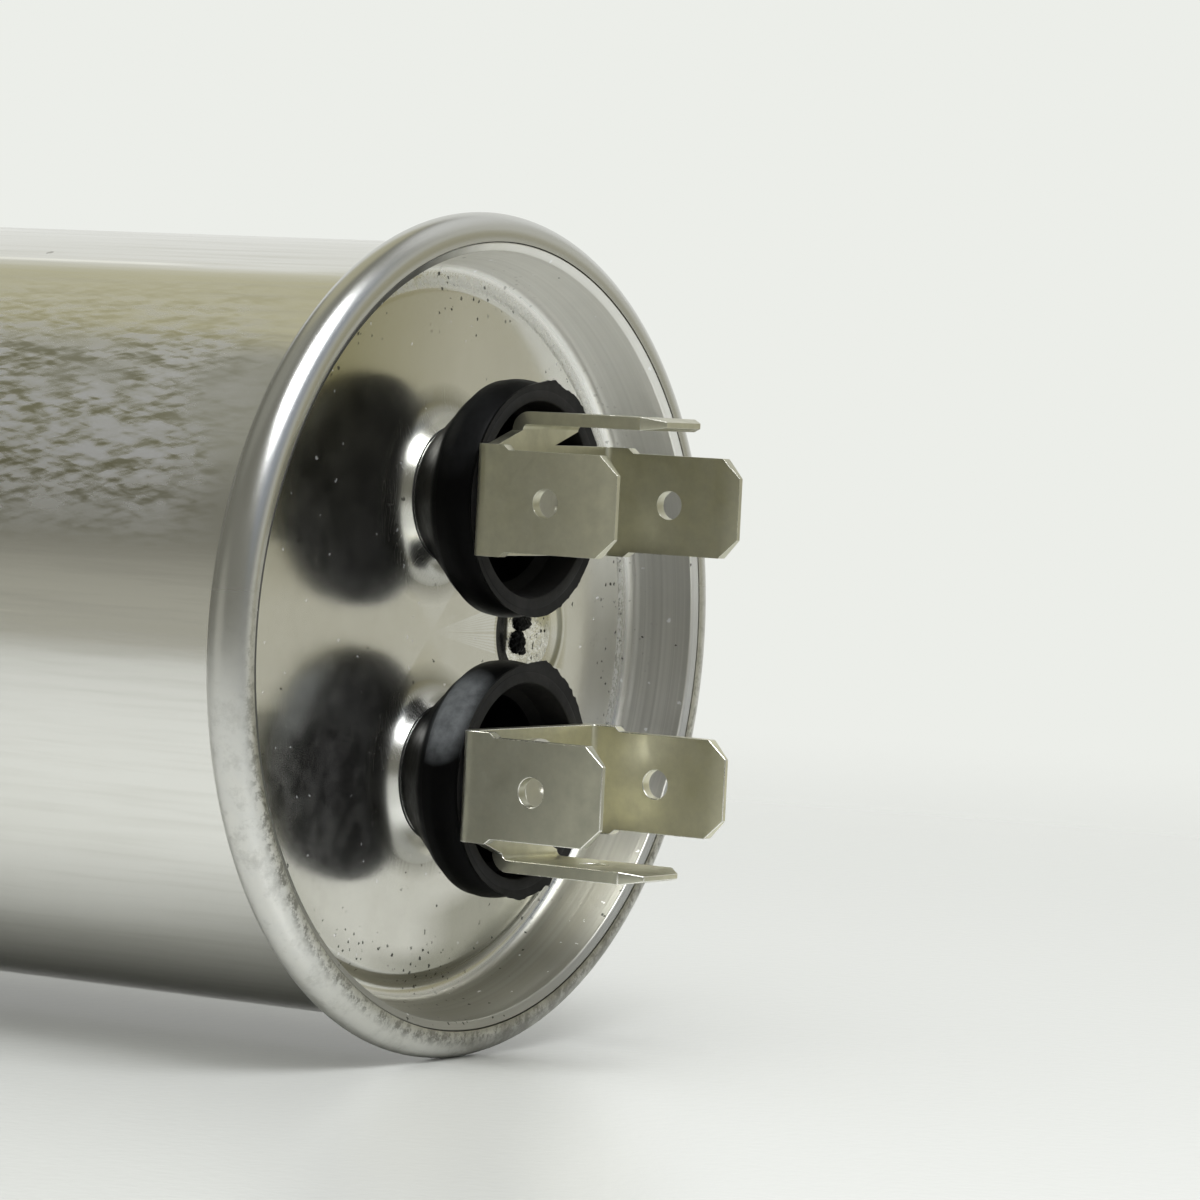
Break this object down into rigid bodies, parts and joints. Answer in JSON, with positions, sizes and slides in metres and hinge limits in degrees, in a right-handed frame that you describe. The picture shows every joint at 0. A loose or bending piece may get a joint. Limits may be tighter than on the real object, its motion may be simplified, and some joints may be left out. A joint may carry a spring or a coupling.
{
  "type": "motor run capacitor",
  "caption": "Round metal-cased motor run capacitor with a seamed, recessed lid and insulated quick-connect blade terminals.",
  "frame": {"origin": "centre of the can's flat bottom", "axes": "+Z along the can towards the terminals; +X from the left terminal to the right one; +Y towards the fill plug"},
  "size_m": [0.054, 0.054, 0.1139],
  "materials": {
    "can": "drawn, satin, lightly smudged",
    "lid": "pressed, satin",
    "sealant": "dark compound",
    "plug": "pressed, with dark sealant residue",
    "phenolic": "black moulded, glossy outside and matt at the mouth",
    "tinned_tab": "dull tin plate",
    "rivet": "dull plated",
    "seal_rubber": "moulded",
    "fibre": "laminated fibre",
    "lug": "tinned brass",
    "lead_red": "insulation",
    "lead_blue": "insulation",
    "solder": "soldered",
    "sprayed_metal": "sprayed, grainy",
    "film": "wound metallised film",
    "core": "extruded",
    "wrap": "amber film wrap",
    "tray": "moulded",
    "spacer": "pressboard"
  },
  "bodies": {
    "root": {"can": "can", "lid": "lid", "seam_sealant": "sealant", "fill_plug": "plug", "terminal_cup_left": "phenolic", "terminal_cup_right": "phenolic", "terminal_tabs_left": "tinned_tab", "terminal_tabs_right": "tinned_tab", "terminal_rivet_left": "rivet", "terminal_rivet_right": "rivet", "rubber_seal_left": "seal_rubber", "rubber_seal_right": "seal_rubber", "inner_washer_left": "fibre", "inner_washer_right": "fibre", "inner_lug_left": "lug", "inner_lug_right": "lug", "lead_to_top_spray": "lead_red", "lead_to_bottom_spray": "lead_blue", "solder_joints": "solder", "top_spray": "sprayed_metal", "bottom_spray": "sprayed_metal", "film_winding": "film", "core_tube": "core", "winding_wrap": "wrap", "insulating_tray": "tray", "top_spacer": "spacer"}
  },
  "joints": []
}
